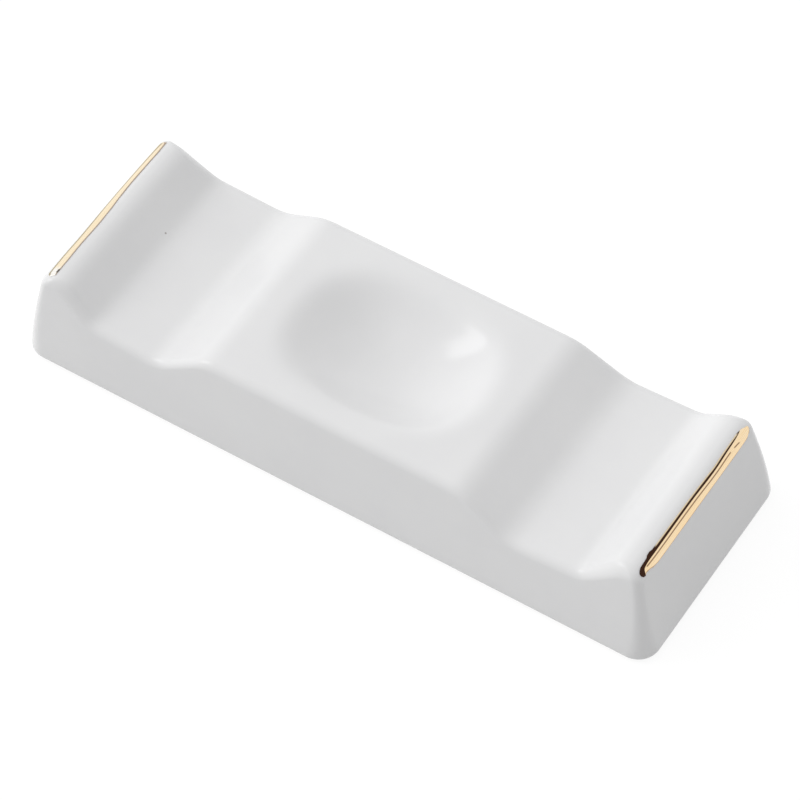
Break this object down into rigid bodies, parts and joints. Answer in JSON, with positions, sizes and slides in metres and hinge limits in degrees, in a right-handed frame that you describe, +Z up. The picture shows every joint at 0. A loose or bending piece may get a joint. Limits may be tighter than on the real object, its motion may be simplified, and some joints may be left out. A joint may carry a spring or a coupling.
{
  "type": "chopstick rest",
  "caption": "Glazed porcelain rest for chopsticks and a spoon: a drafted block with a trough inside each raised end, an oval dish in its raised middle and a gilt line on each ridge",
  "frame": {"origin": "Middle of the foot, on the plane that the rest stands on", "axes": "+X along the rest, +Y across it, +Z up"},
  "size_m": [0.1, 0.0342, 0.0158],
  "materials": {
    "porcelain": "bare fired clay, fine matte grain",
    "glaze": "glossy white glaze",
    "gilt": "fired gold, hand drawn, soft sheen"
  },
  "bodies": {
    "root": {"porcelain_body": "porcelain", "outer_glaze": "glaze", "recess_glaze": "glaze", "gilt_line_left": "gilt", "gilt_line_right": "gilt"}
  },
  "joints": []
}
